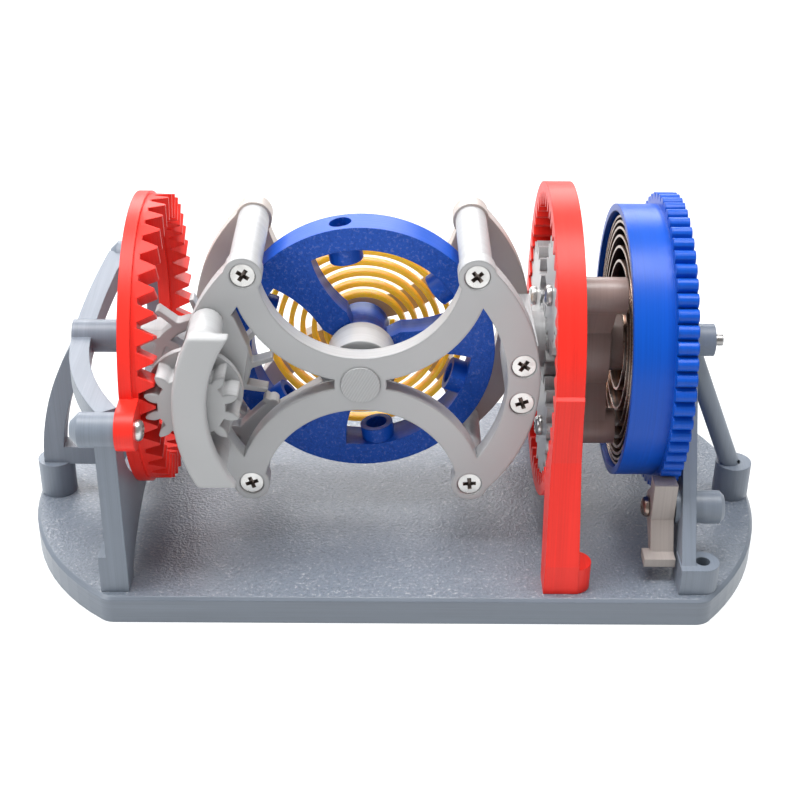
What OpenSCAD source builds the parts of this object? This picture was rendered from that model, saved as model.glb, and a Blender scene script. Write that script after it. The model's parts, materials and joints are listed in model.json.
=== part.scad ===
// Working escapement model with a tourbillon cage that turns on a horizontal axis.
// A mainspring barrel drives a planet carrier, the planets speed up the cage, and the
// cage carries a pinion round a fixed crown gear, which turns the escape wheel.
// X runs along the cage axis towards the barrel, Y to the back, Z up.
// The origin is the centre of the underside of the base.

/* [Base] */
// Length of the base over its curved ends
base_l = 194; // [188:1:215]
// Depth of the base, front to back
base_d = 98; // [96:1:110]
// Thickness of the base
base_t = 7.5; // [5:0.5:12]
// Radius of the curved left end
base_left_r = 60; // [58:1:70]
// Radius of the curved right end
base_right_r = 70; // [60:1:80]
// Radius of the four corners
base_corner_r = 5; // [3:1:7]
// Bevel along the top edge
base_bevel = 0.8; // [0.4:0.1:1.5]
// Height of the cage axis over the base
axis_h = 47.2; // [46.8:0.1:56]

/* [Cage] */
// Place of the balance axis along the cage axis
cage_x = -9; // [-12:0.5:-6]
// Distance of the front plate's outer face from the cage axis
cage_front = 25; // [25:0.5:27]
// Distance of the back plate's inner face from the cage axis
cage_back = 9.2; // [8.8:0.1:12]
// Thickness of the two cage plates
plate_t = 5; // [4:0.5:5.5]
// Half the spacing of the pillars along the cage axis
pillar_dx = 27.7; // [27:0.1:29]
// Half the spacing of the pillars across the cage axis
pillar_dz = 29; // [28.5:0.1:30]
// Diameter of a pillar
pillar_d = 8; // [7:0.1:8.5]
// Radius of the boss at each pillar
corner_r = 4.6; // [4.3:0.1:5]
// Middle radius of the crossed arms
arm_r = 28; // [27:0.5:29]
// Width of the crossed arms
arm_w = 6.5; // [5:0.1:7]
// Width of the end bands
band_w = 8; // [7:0.1:8.6]
// Radius of the boss in the middle of a plate
boss_r = 6.4; // [6:0.1:7]
// Radius of the bearing plug in the front boss
plug_r = 4.8; // [4:0.1:5.2]
// Length of the end block along the cage axis
block_l = 7; // [6:0.5:7.5]
// Height of the end block
block_h = 17; // [15:0.5:20]

/* [Escapement] */
// Distance of the escape arbor from the balance axis
escape_dx = 40; // [39:0.5:41]
// Outer radius of the escape wheel
escape_r = 17.9; // [17.2:0.1:18.2]
// Number of teeth on the escape wheel
escape_teeth = 12; // [12:12:12]
// Thickness of the escape wheel and of the lever
escape_t = 4; // [3:0.1:4.4]
// Distance of the lever pivot from the balance axis
lever_reach = 39.1; // [38.6:0.1:39.6]
// Angle of the lever pivot under the cage axis
lever_drop = 33.9; // [33.5:0.1:34.3]
// Half the angle that the two pallets span at the escape wheel
pallet_span = 37.5; // [37.5:1:37.5]
// Room between a pallet and the escape teeth with the lever in the middle
pallet_gap = 0.5; // [0.3:0.1:0.8]
// Width of a pallet
pallet_w = 1.5; // [1:0.1:1.8]
// Balance travel for one degree of lever travel
lever_ratio = 5; // [4.8:0.1:5.2]
// Diameter of the impulse pin
impulse_d = 2.2; // [1.6:0.1:2.6]
// Diameter of the lever arbor
lever_arbor_d = 2.5; // [2:0.1:3]
// Diameter of the escape arbor
escape_arbor_d = 3; // [2.5:0.1:3.5]
// Number of teeth on the escape pinion
pinion_teeth = 12; // [12:1:12]
// Width of the curved bridge over the pinion
bridge_w = 8.2; // [7.6:0.1:8.6]
// Thickness of the bridge
bridge_t = 3.5; // [3:0.1:4]
// Diameter of the two bridge columns
column_d = 8; // [6:0.1:8.5]

/* [Balance] */
// Outer radius of the balance wheel
balance_r = 34; // [33:0.1:34.6]
// Radial width of the balance rim
rim_w = 6; // [4:0.1:7]
// Thickness of the balance rim
rim_t = 9; // [7:0.5:9.5]
// Distance of the rim's front face from the cage axis
balance_front = 7.4; // [7:0.1:8]
// Thickness of the spokes and hub web
spoke_t = 7; // [4:0.5:7.5]
// Width of a spoke in the middle
spoke_w = 7; // [4:0.1:8]
// Radius of the balance hub
hub_r = 7.2; // [6.5:0.1:8]
// Outer diameter of a radial rim boss
poise_d = 8.6; // [7:0.1:8.8]
// Diameter of the radial hole in a boss
poise_hole = 5.6; // [4:0.1:6]
// Distance of a boss's inner end from the balance axis
poise_in = 24; // [23:0.1:25]
// Angle of the first spoke
spoke_angle = 9; // [0:1:20]
// Radius of the roller in front of the balance
roller_r = 8.6; // [8:0.1:9]
// Diameter of the balance staff
staff_d = 2; // [1.6:0.1:2.4]

/* [Hairspring] */
// Radius of the hairspring's outer end
hair_out = 27; // [26.5:0.1:27.5]
// Radius of the hairspring's inner end
hair_in = 8; // [8:0.1:9]
// Radial pitch of the turns
hair_pitch = 3; // [2.8:0.1:3.4]
// Radial thickness of the strip
hair_t = 1.3; // [0.8:0.1:1.5]
// Depth of the strip
hair_h = 3; // [2:0.1:3.6]
// Distance of the strip's front edge behind the cage axis
hair_y = 3.6; // [3.6:0.1:4]

/* [Gears] */
// Module of the crown gear and the escape pinion
crown_mod = 1.68; // [1.66:0.01:1.7]
// Number of teeth on the crown gear
crown_teeth = 40; // [40:1:40]
// Radial length of a crown tooth
crown_face = 6; // [5:0.1:6.4]
// Thickness of the crown gear behind its teeth
crown_t = 4.6; // [4.4:0.1:6]
// Module of the planetary gears
planet_mod = 1.5; // [1.46:0.01:1.54]
// Number of teeth inside the ring gear
ring_teeth = 48; // [48:1:48]
// Number of teeth on the sun gear
sun_teeth = 12; // [12:1:12]
// Width of the ring gear
ring_t = 6.8; // [6.4:0.1:7.4]
// Wall of the ring gear behind its teeth
ring_wall = 2.6; // [2.2:0.1:3.4]
// Radius of the rounded ends of the planet carrier
lobe_r = 4.6; // [4.2:0.1:5]
// Length of the planet carrier along the axis
carrier_l = 11.9; // [10:0.1:12.4]
// Angle of the first planet from the back, turning up
planet_angle = 4; // [0:1:10]

/* [Barrel] */
// Outer radius of the spring barrel
barrel_r = 35; // [34:0.1:36]
// Length of the spring barrel
barrel_l = 15; // [14.5:0.1:16]
// Wall of the barrel
barrel_wall = 1.8; // [1.4:0.1:2.2]
// Tip radius of the ratchet rim
ratchet_r = 38; // [37.5:0.1:38.4]
// Width of the ratchet rim
ratchet_w = 5; // [4:0.1:6]
// Number of teeth on the ratchet rim
ratchet_teeth = 60; // [60:12:60]
// Thickness of the mainspring strip
main_t = 0.7; // [0.4:0.1:0.8]
// Turns of the mainspring
main_turns = 8; // [6:1:9]
// Width of the pawl
pawl_w = 5.8; // [5.4:0.1:6.2]
// Diameter of the steel shafts on the cage axis
shaft_d = 3; // [2.5:0.1:3.5]

/* [Frames] */
// Thickness of the left frame's legs along the axis
leg_t = 5; // [4.4:0.1:5.6]
// Thickness of the right frame's legs along the axis
right_leg_t = 3.5; // [3:0.1:5]
// Width of the frame legs
leg_w = 7; // [6:0.1:8]
// Diameter of the end feet
foot_d = 9.6; // [8.6:0.1:10]
// Height of the end feet
foot_h = 10; // [9:0.5:12]
// Inset of the end feet from the ends of the base
foot_inset = 5; // [4.9:0.1:7]
// Inset of the legs' outer faces from the front and back edges
leg_inset = 2.5; // [2:0.1:3.5]
// Diameter of the frame hubs
frame_hub_d = 8.5; // [7.5:0.1:9.5]
// Distance of the crown gear's two screws from the axis
lug_r = 43; // [42.5:0.1:43.2]
// Diameter of a screw hole in a foot
foot_hole = 3.6; // [2.8:0.1:4]

/* [Fasteners] */
// Diameter of a screw shank
screw_d = 2.9; // [2.5:0.1:3]
// Diameter of a pan head
head_d = 5.3; // [4.8:0.1:6]
// Height of a pan head
head_h = 1.8; // [1.4:0.1:2.2]
// Diameter of a countersunk head
flat_d = 6; // [5.6:0.1:6.2]
// Depth of a countersunk head's face under the cage plate
flat_sink = 0.5; // [0.3:0.1:0.8]

/* [Fits] */
// Radial play of a pivot in its bearing
play = 0.08; // [0.05:0.01:0.1]
// Radial gap round a part that is pressed or screwed in
seat = 0.03; // [0.02:0.01:0.05]
// Room between a turning face and its neighbour
run_gap = 0.4; // [0.3:0.1:0.6]
// Thinning of each gear tooth for easy running
backlash = 0.32; // [0.25:0.01:0.4]

/* [Hidden] */
$fn = 64;
eps = 0.01;

frame_grey = [0.47, 0.51, 0.56];
pale_grey = [0.80, 0.80, 0.79];
warm_grey = [0.52, 0.48, 0.47];
gear_red = [0.93, 0.20, 0.16];
wheel_blue = [0.10, 0.26, 0.72];
spring_yellow = [0.94, 0.68, 0.14];
steel = [0.75, 0.75, 0.77];

axis_z = base_t + axis_h;
pressure_angle = 25;

// Places of the escapement, measured in the front view from the balance axis
cage_band_r = norm([pillar_dx, pillar_dz]);
cage_out = cage_band_r + band_w / 2;
cage_in = cage_band_r - band_w / 2;
arm_c = pillar_dz + arm_r * sin(6);
lever_at = lever_reach * unit(180 + lever_drop);
escape_at = [-escape_dx, 0];
lever_line = lever_at - escape_at;
lever_heading = atan2(lever_line[1], lever_line[0]);
impulse_r = lever_reach / (1 + lever_ratio);
impulse_heading = 180 + lever_drop;
pallet_heading = [lever_heading + pallet_span, lever_heading - pallet_span];
escape_phase = pallet_heading[0] + 360 / escape_teeth / 4;

// Stations along Y inside the cage
front_out = -cage_front;
front_in = front_out + plate_t;
back_out = cage_back + plate_t;
escape_y = front_in + 5;
roller_front = front_in + 1.5;
roller_back = -balance_front - 0.6;
bridge_in = -(crown_mod * crown_teeth / 2 + crown_face / 2 + run_gap);
bridge_out = bridge_in - bridge_t;

// Stations along X on the left
escape_x = cage_x - escape_dx;
pinion_rp = crown_mod * pinion_teeth / 2;
crown_rp = crown_mod * crown_teeth / 2;
crown_out = crown_rp + crown_face / 2;
crown_in = crown_rp - crown_face / 2;
crown_pitch_x = escape_x - pinion_rp;
crown_tip_x = crown_pitch_x + 0.95 * crown_mod;
crown_root_x = crown_pitch_x - 1.35 * crown_mod;
crown_x = crown_root_x - crown_t;
// Front and back screw bosses of the crown gear, in depth and height from the axis
lugs = [[-lug_r, -2.5], [lug_r, 3]];
lug_half = 5;
left_leg_x = crown_x - leg_t;
left_hub_x = crown_x - 17.5;
left_bearing_x = crown_x - 1;
left_hub_end = left_bearing_x - run_gap;
left_bearing_l = 7.4;
bow_h = 5.5;
bow_z = -1.2;
bow_w = 5;
bow_r = [73, 300];
boss_l = [10.8, 14.6];

// Stations along X on the right
cage_right = cage_x + cage_out;
block_x = cage_right - 0.5 - block_l;
ring_x = cage_right + 2.1;
planet_teeth = (ring_teeth - sun_teeth) / 2;
planet_orbit = planet_mod * (sun_teeth + planet_teeth) / 2;
ring_rp = planet_mod * ring_teeth / 2;
ring_out = ring_rp + 1.3 * planet_mod + ring_wall;
planet_x = ring_x + 0.6;
planet_t = ring_t - 0.6;
carrier_x = ring_x + ring_t + run_gap;
web_l = carrier_l - 2.4;
barrel_x = carrier_x + carrier_l - 0.4;
barrel_end = barrel_x + barrel_l;
arbor_r = 8;
// Gap between the inner end of a spring and the boss that it is wound on
spring_gap = 0.3;
arbor_end = barrel_end - barrel_wall - run_gap;
main_x = barrel_x + 1.2;
main_w = barrel_l - barrel_wall - 1.8;
main_in = arbor_r + main_t / 2 + spring_gap;
main_out = barrel_r - barrel_wall - main_t / 2 - 0.1;
// The right legs lean outwards from the base to the hub
right_lean = 0.075;
right_leg_x = barrel_end + 2.9;
right_foot_x = right_leg_x - right_lean * axis_h;
right_hub_end = right_leg_x + right_leg_t + 4.9;
shaft_end = right_hub_end + 2.4;

// Feet, legs and the pawl
leg_y = base_d / 2 - leg_inset;
foot_x = base_l / 2 - foot_inset;
flange_h = 7.2;
flange_r = 4.2;
pawl_share = 0.685;
pawl_at = [-(leg_y - leg_w / 2) * pawl_share, -axis_h * pawl_share];
peg_x = right_leg_x + right_lean * pawl_at[1];
pawl_x = right_foot_x - run_gap - pawl_w;
pawl_boss_r = 4.4;
pawl_tip_angle = atan2(pawl_at[1], pawl_at[0]) - 9;
pawl_tip_r = ratchet_r - 0.8;
ratchet_h = 2;
tail_end = [pawl_at[0] - 7, pawl_at[1] - 9];

hair_turns = (hair_out - hair_in) / hair_pitch;
hair_start = -105;
loop_rings = 24;

// Placing helpers

// Puts a flat outline upright in the cage, from depth y0 to y1, seen from the front
module upright(y0, y1) {
  translate([cage_x, y1, axis_z]) rotate([90, 0, 0]) linear_extrude(y1 - y0) children();
}

// Puts a solid on the cage axis at x, with its own Z along the axis and its X to the back
module on_axis(x) {
  translate([x, 0, axis_z]) rotate([90, 0, 90]) children();
}

// A round bar or bore along the depth of the cage, at a place of the front view
module cross_pin(at, y0, y1, d) {
  translate([cage_x + at[0], y0, axis_z + at[1]]) rotate([-90, 0, 0]) cylinder(d = d, h = y1 - y0);
}

// A round bar or bore along the cage axis, at depth and height from the axis
module axis_pin(at, x0, x1, d) {
  translate([x0, at[0], axis_z + at[1]]) rotate([0, 90, 0]) cylinder(d = d, h = x1 - x0);
}

module ring_2d(r, w) {
  difference() {
    circle(r = r + w / 2, $fn = 128);
    circle(r = r - w / 2, $fn = 128);
  }
}

// A flat wedge of the plane between two angles
module wedge_2d(a0, a1, r) {
  steps = 6;
  polygon(concat([[0, 0]], [for (i = [0 : steps]) r * unit(a0 + (a1 - a0) * i / steps)]));
}

function unit(a) = [cos(a), sin(a)];
function arc(c, r, a0, a1, n = 12) = [for (i = [0 : n]) c + r * unit(a0 + (a1 - a0) * i / n)];

// Gear outlines

function involute_deg(a) = tan(a) * 180 / PI - a;
function half_tooth(r, rp, base_half) =
  let (rb = rp * cos(pressure_angle), a = r <= rb ? 0 : acos(rb / r))
  base_half + involute_deg(pressure_angle) - involute_deg(a);

// Outline of an involute gear whose first tooth points along X
module gear_2d(mod, teeth, add, ded, thin, steps = 4) {
  rp = mod * teeth / 2;
  r_tip = rp + add * mod;
  r_root = rp - ded * mod;
  r_low = max(r_root, rp * cos(pressure_angle));
  base_half = 90 / teeth - thin / 2 / rp * 180 / PI;
  flank = [for (i = [0 : steps])
    let (r = r_low + (r_tip - r_low) * i / steps) [r, half_tooth(r, rp, base_half)]];
  root_half = half_tooth(r_low, rp, base_half);
  half = concat([[r_root, root_half]], flank);
  n = len(half);
  polygon([for (k = [0 : teeth - 1], i = [0 : 2 * n - 1])
    let (p = i < n ? half[i] : half[2 * n - 1 - i], side = i < n ? -1 : 1)
    p[0] * unit(k * 360 / teeth + side * p[1])]);
}

// Wheel outline with round teeth, for the winding rim
module round_teeth_2d(teeth, r_tip, depth, steps = 6) {
  polygon([for (i = [0 : teeth * steps - 1])
    let (wave = abs(sin(180 * (i / steps - 0.5))))
    (r_tip - depth * (1 - sqrt(wave))) * unit(i * 360 / teeth / steps)]);
}

// Strip swept along a flat spiral: points are [radius, angle], t its thickness, h its width
module spiral_strip(points, t, h) {
  n = len(points);
  verts = [for (p = points, c = [[-1, 0], [1, 0], [1, h], [-1, h]])
    let (q = (p[0] + c[0] * t / 2) * unit(p[1])) [q[0], q[1], c[1]]];
  sides = [for (i = [0 : n - 2], j = [0 : 3])
    let (a = 4 * i + j, b = 4 * i + (j + 1) % 4) [a, b, b + 4, a + 4]];
  quads = concat(sides, [[3, 2, 1, 0]], [[for (j = [0 : 3]) 4 * (n - 1) + j]]);
  polyhedron(verts, [for (q = quads, tri = [[q[0], q[1], q[2]], [q[0], q[2], q[3]]]) tri]);
}

// Least gap between neighbouring turns of a spiral of even rings
function turn_gap(points, t) =
  min([for (i = [0 : len(points) - 1 - loop_rings])
    abs(points[i][0] - points[i + loop_rings][0]) - t]);

// Fasteners

// Pan-head screw with a cross recess, its head's underside at the origin, shank down Z
module pan_screw(l, head = head_h) {
  recess = 0.8;
  difference() {
    union() {
      cylinder(d1 = head_d, d2 = head_d - 1.2, h = head);
      translate([0, 0, -l]) cylinder(d = screw_d, h = l + eps);
    }
    for (a = [45, 135])
      rotate(a) translate([-1.5, -recess / 2, head - 1]) cube([3, recess, 2]);
  }
}

// Solid of a countersunk screw, widened all round by gap, its face at the origin, shank down Z
module flat_form(l, gap = 0) {
  rim = 0.4;
  cone = (flat_d - screw_d) / 2;
  r = [screw_d / 2 + gap, flat_d / 2 + gap];
  rotate_extrude() polygon([[0, 0], [r[1], 0], [r[1], -rim], [r[0], -rim - cone], [r[0], -l], [0, -l]]);
}

// Countersunk screw with a cross recess, driven from the front of the cage
module front_screw(at, l) {
  recess = [3.6, 1.1];
  translate([cage_x + at[0], front_out + flat_sink, axis_z + at[1]]) rotate([90, 0, 0]) difference() {
    flat_form(l);
    for (a = [20, 110])
      rotate(a) translate([-recess[0] / 2, -recess[1] / 2, -recess[1]]) cube([recess[0], recess[1], 2]);
  }
}

// Countersink and clearance hole for such a screw in the front plate
module front_sink(at) {
  translate([cage_x + at[0], front_out + flat_sink, axis_z + at[1]]) rotate([90, 0, 0])
    flat_form(plate_t + 1, seat);
  cross_pin(at, front_out - 1, front_out + flat_sink + eps, flat_d + 0.3);
}

// Base and frames

// Half outline of the base end: corner, long curve, corner
function base_end(end_r) =
  let (
    c = [base_l / 2 - end_r, 0],
    r = base_corner_r,
    y = base_d / 2 - r,
    f = [c[0] + sqrt(pow(end_r - r, 2) - y * y), y],
    a = asin(y / (end_r - r))
  )
  concat(arc([f[0], -f[1]], r, -90, -a, 8), arc(c, end_r, -a, a, 24), arc(f, r, a, 90, 8));

module base_outline() {
  polygon(concat(base_end(base_right_r), [for (p = base_end(base_left_r)) -p]));
}

// Places of the screw holes under the feet
right_flange_x = right_foot_x + right_leg_t + 2.6;
flange_y = leg_y - flange_r;
foot_holes = [[right_flange_x, -flange_y], [right_flange_x, flange_y], [foot_x, 0]];
pilot_depth = 5;

module base_plate() {
  color(frame_grey) difference() {
    union() {
      linear_extrude(base_t - base_bevel) base_outline();
      hull() {
        translate([0, 0, base_t - base_bevel]) linear_extrude(eps) base_outline();
        translate([0, 0, base_t - eps]) linear_extrude(eps)
          scale([1 - 2 * base_bevel / base_l, 1 - 2 * base_bevel / base_d]) base_outline();
      }
    }
    for (p = foot_holes)
      translate([p[0], p[1], base_t - pilot_depth]) cylinder(d = screw_d - 0.4, h = pilot_depth + 1);
  }
}

// Half-round block that runs from x back to the leg face beside it
module flange(x, leg_face, s) {
  translate([x, s * flange_y, base_t]) cylinder(r = flange_r, h = flange_h);
  translate([leg_face, s * flange_y - flange_r, base_t]) cube([x - leg_face, 2 * flange_r, flange_h]);
}

// End foot: a round post that carries the slanted brace to the hub
module end_foot(x) {
  translate([x, 0, base_t]) cylinder(d = foot_d, h = foot_h);
}

module foot_bore(at, h) {
  translate([at[0], at[1], base_t - 1]) cylinder(d = foot_hole, h = h + 2);
}

// Bar of square section bent to an arc about an upright or cross axis
module bent_bar(r, w, h, a0, a1) {
  rotate(a0) rotate_extrude(angle = a1 - a0, $fn = 160)
    translate([r - w / 2, -h / 2]) square([w, h]);
}

// Half of the bow that joins the left hub to a screw boss, from angle a0 to a1 of its arc
module bow_half(r, a0, a1, tilt) {
  translate([left_hub_x + bow_w / 2 + r, 0, axis_z + bow_z]) rotate([tilt, 0, 0])
    bent_bar(r, bow_w, bow_h, 180 + a0, 180 + a1);
}

// Left frame in the front-to-back plane: two legs and a tie, with an arch under and over it
tie_h = [10.6, 15.8];

module left_legs_2d() {
  arch_r = leg_y - leg_w;
  eye_r = lug_r - 4;
  eye_z = axis_h + lugs[0][1] - 4;
  difference() {
    for (i = [0, 1]) translate([(i - 1) * leg_y, 0]) square([leg_y, axis_h + lugs[i][1]]);
    translate([-eye_r, eye_z]) square([2 * eye_r, axis_h]);
    translate([0, eye_z]) scale([1, (eye_z - tie_h[1]) / eye_r]) circle(r = eye_r, $fn = 128);
    scale([1, tie_h[0] / arch_r]) circle(r = arch_r, $fn = 128);
  }
}

module left_frame() {
  strut_top = [left_hub_x + 2.5, axis_z - 1.5];
  strut_foot = [-foot_x, base_t + foot_h - 2];
  strut_w = 5.4;
  rise = strut_top[1] - strut_foot[1];
  run = strut_top[0] - strut_foot[0];
  strut_r = (run * run + rise * rise) / (2 * run);
  boss_bevel = 2;
  block_h = 10.3;
  block_w = leg_t + 2;
  color(frame_grey) difference() {
    union() {
      axis_pin([0, 0], left_hub_x, left_hub_end, frame_hub_d);
      for (i = [0, 1]) {
        boss_x = crown_x - boss_l[i];
        axis_pin(lugs[i], boss_x + boss_bevel, crown_x, frame_hub_d);
        translate([boss_x, lugs[i][0], axis_z + lugs[i][1]]) rotate([0, 90, 0])
          cylinder(d1 = frame_hub_d - 2 * boss_bevel, d2 = frame_hub_d, h = boss_bevel);
        translate([crown_x - block_w, (2 * i - 1) * (leg_y - leg_w / 2) - leg_w / 2, base_t])
          cube([block_w, leg_w, block_h]);
      }
      bow_half(bow_r[0], 0, asin((lug_r - 2) / bow_r[0]), 0);
      bow_half(bow_r[1], -asin((lug_r - 2) / bow_r[1]), 0, atan2(lugs[1][1] - bow_z, lug_r));
      translate([left_leg_x, 0, base_t]) rotate([90, 0, 90]) linear_extrude(leg_t) left_legs_2d();
      translate([-foot_x + strut_r, 0, strut_foot[1]]) rotate([90, 0, 0])
        bent_bar(strut_r, strut_w, strut_w, 180 - asin(rise / strut_r), 180);
      end_foot(-foot_x);
      translate([-foot_x, -strut_w / 2, base_t + tie_h[0] - 1])
        cube([left_leg_x + foot_x + 1, strut_w, tie_h[1] - tie_h[0]]);
    }
    axis_pin([0, 0], left_hub_x + 4, left_hub_end + 1, shaft_d + 2 * seat);
    for (p = lugs) axis_pin(p, crown_x - 9, crown_x + 1, screw_d + 2 * seat);
  }
}

// Two legs that lean together at the hub, in the front-to-back plane
module right_legs_2d() {
  for (s = [-1, 1]) scale([s, 1])
    polygon([[leg_y - leg_w - 2, 0], [leg_y, 0], [leg_y, 5], [leg_w * 0.45, axis_h + 3],
             [-leg_w * 0.45, axis_h + 3], [-leg_w * 0.45, axis_h - leg_w]]);
  translate([0, axis_h]) circle(d = frame_hub_d + 2);
}

module right_frame() {
  brace_x = right_leg_x + right_leg_t / 2;
  brace_d = 5.2;
  brace_run = [foot_x - brace_x, axis_h - foot_h + 3];
  peg_l = right_leg_t + 7.9;
  peg_bevel = 1;
  color(frame_grey) difference() {
    union() {
      axis_pin([0, 0], right_leg_x, right_hub_end, frame_hub_d);
      translate([right_foot_x, 0, base_t]) multmatrix([[1, 0, right_lean], [0, 1, 0], [0, 0, 1]])
        rotate([90, 0, 90]) linear_extrude(right_leg_t) right_legs_2d();
      for (s = [-1, 1]) flange(right_flange_x, right_foot_x + 0.2, s);
      axis_pin(pawl_at, right_foot_x, peg_x + peg_l - peg_bevel, frame_hub_d);
      translate([peg_x + peg_l - peg_bevel, pawl_at[0], axis_z + pawl_at[1]]) rotate([0, 90, 0])
        cylinder(d1 = frame_hub_d, d2 = frame_hub_d - 2 * peg_bevel, h = peg_bevel);
      end_foot(foot_x);
      translate([brace_x, 0, axis_z]) rotate([0, 180 - atan2(brace_run[0], brace_run[1]), 0])
        cylinder(d = brace_d, h = norm(brace_run));
    }
    axis_pin([0, 0], right_leg_x - 1, right_hub_end + 1, shaft_d + 2 * seat);
    axis_pin(pawl_at, peg_x - 2, peg_x + right_leg_t + 3.5, screw_d + 2 * seat);
    for (p = foot_holes) foot_bore(p, p[0] == foot_x ? foot_h : flange_h);
  }
}

// The two legs of the ring gear, in the front-to-back plane, from the base up
module ring_legs_2d() {
  cheek = ring_out + 0.6;
  cheek_z = [axis_h - 0.3 * ring_out, axis_h + 0.12 * ring_out];
  inner_z = axis_h - 0.5 * ring_out;
  foot_z = ring_out / 5;
  for (s = [-1, 1]) scale([s, 1])
    polygon([[leg_y - leg_w, 0], [leg_y, 0], [leg_y, foot_z], [cheek, cheek_z[0]], [cheek, cheek_z[1]],
             [0.9 * ring_out, axis_h + ring_out / 5], [0.78 * ring_out, inner_z]]);
}

module ring_gear_stand() {
  ring_end = ring_x + ring_t;
  leg_x = [ring_x - 0.6, ring_end + 1.3];
  lip_x = ring_end + 0.3;
  top = axis_h + ring_out;
  color(gear_red) difference() {
    union() {
      on_axis(ring_x) cylinder(r = ring_out, h = ring_t, $fn = 160);
      intersection() {
        translate([leg_x[0] - 1, 0, base_t]) rotate([90, 0, 90])
          linear_extrude(leg_x[1] - leg_x[0] + 2) ring_legs_2d();
        translate([0, base_d, base_t]) rotate([90, 0, 0]) linear_extrude(2 * base_d)
          polygon([[leg_x[0], 0], [leg_x[1], 0], [ring_end, axis_h], [ring_end, top], [ring_x, top],
                   [ring_x, axis_h]]);
      }
      for (s = [-1, 1]) flange(lip_x, ring_x + 0.5, s);
    }
    on_axis(ring_x - 2) linear_extrude(ring_t + 4) gear_2d(planet_mod, ring_teeth, 1.3, 0.85, -backlash);
  }
}

// One crown tooth: a prism along the radius, its tip at the top
module crown_tooth() {
  h = crown_tip_x - crown_root_x;
  tip = 0.7;
  foot = tip + 2 * h * tan(pressure_angle);
  translate([crown_in, 0, 0]) rotate([90, 0, 90]) linear_extrude(crown_face)
    polygon([[-foot / 2, -0.5], [foot / 2, -0.5], [foot / 2, 0], [tip / 2, h], [-tip / 2, h],
             [-foot / 2, 0]]);
}

module crown_gear() {
  crown_lip = 0.8;
  crown_step = 1.5;
  color(gear_red) difference() {
    union() {
      on_axis(crown_x) linear_extrude(crown_t - crown_step) ring_2d(crown_rp, crown_face + 2 * crown_lip);
      on_axis(crown_x) linear_extrude(crown_t) {
        ring_2d(crown_rp, crown_face);
        for (p = lugs) {
          translate([sign(p[0]) * (lug_r + crown_in + 2) / 2, p[1]])
            square([lug_r - crown_in - 2, 2 * lug_half], center = true);
          translate(p) circle(r = lug_half);
        }
      }
      on_axis(crown_root_x)
        for (k = [0 : crown_teeth - 1]) rotate(180 + k * 360 / crown_teeth) crown_tooth();
    }
    for (p = lugs) axis_pin(p, crown_x - 1, crown_root_x + 9, screw_d + 2 * seat);
  }
}

module crown_screws() {
  color(steel) for (p = lugs)
    translate([crown_root_x, p[0], axis_z + p[1]]) rotate([0, 90, 0]) pan_screw(crown_t + 8);
}

module left_pivot() {
  color(steel) axis_pin([0, 0], left_hub_x + 4, cage_x - cage_out + left_bearing_l - 1, shaft_d);
}

module centre_shaft() {
  color(steel) axis_pin([0, 0], block_x + 1, shaft_end, shaft_d);
}

// Ratchet pawl and barrel

// Pawl in the front-to-back plane: tooth above its pivot, finger tail below
module pawl_2d() {
  tip = pawl_tip_r * unit(pawl_tip_angle);
  back = (pawl_tip_r + 4.2) * unit(pawl_tip_angle - 5);
  front = (pawl_tip_r + 2.4) * unit(pawl_tip_angle + 4);
  hull() {
    translate(pawl_at) circle(r = pawl_boss_r, $fn = 32);
    polygon([back, front, (pawl_tip_r + 3) * unit(pawl_tip_angle)]);
  }
  polygon([tip, front, back]);
  hull() {
    translate(pawl_at) circle(r = pawl_boss_r - 1.2, $fn = 32);
    translate(tail_end) circle(r = 1.4, $fn = 16);
  }
}

module pawl() {
  tab_l = 2;
  color(pale_grey) difference() {
    union() {
      on_axis(pawl_x) linear_extrude(pawl_w) pawl_2d();
      on_axis(pawl_x - tab_l) translate([tail_end[0] - 4.5, tail_end[1] - 1.4, 0])
        cube([5, 2.2, pawl_w + tab_l]);
    }
    axis_pin(pawl_at, pawl_x - 1, pawl_x + pawl_w + 1, screw_d + 2 * play);
  }
}

module pawl_screw() {
  color(steel) translate([pawl_x - 0.2, pawl_at[0], axis_z + pawl_at[1]]) rotate([0, -90, 0])
    pan_screw(pawl_w + right_leg_t + 2);
}

module barrel() {
  color(wheel_blue) difference() {
    union() {
      on_axis(barrel_x) cylinder(r = barrel_r, h = barrel_l, $fn = 128);
      on_axis(barrel_end - ratchet_w) rotate(pawl_tip_angle + 180 / ratchet_teeth)
        linear_extrude(ratchet_w) round_teeth_2d(ratchet_teeth, ratchet_r, ratchet_h);
    }
    on_axis(barrel_x - 1) cylinder(r = barrel_r - barrel_wall, h = barrel_l - barrel_wall + 1, $fn = 128);
    axis_pin([0, 0], barrel_x, barrel_end + 1, shaft_d + 2 * play);
  }
}

// Spring turns lie close at the barrel wall and open out towards the arbor
main_points = [for (i = [0 : main_turns * loop_rings])
  let (u = i / (main_turns * loop_rings), spread = 0.38 * u + 0.62 * (1 - pow(1 - u, 3)))
  [main_in + (main_out - main_in) * spread, i * 360 / loop_rings]];

module mainspring() {
  echo(mainspring_least_gap = turn_gap(main_points, main_t));
  color(steel) on_axis(main_x) spiral_strip(main_points, main_t, main_w);
}

// Planetary train

function planet_heading(k) = planet_angle + 120 * k;

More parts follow.
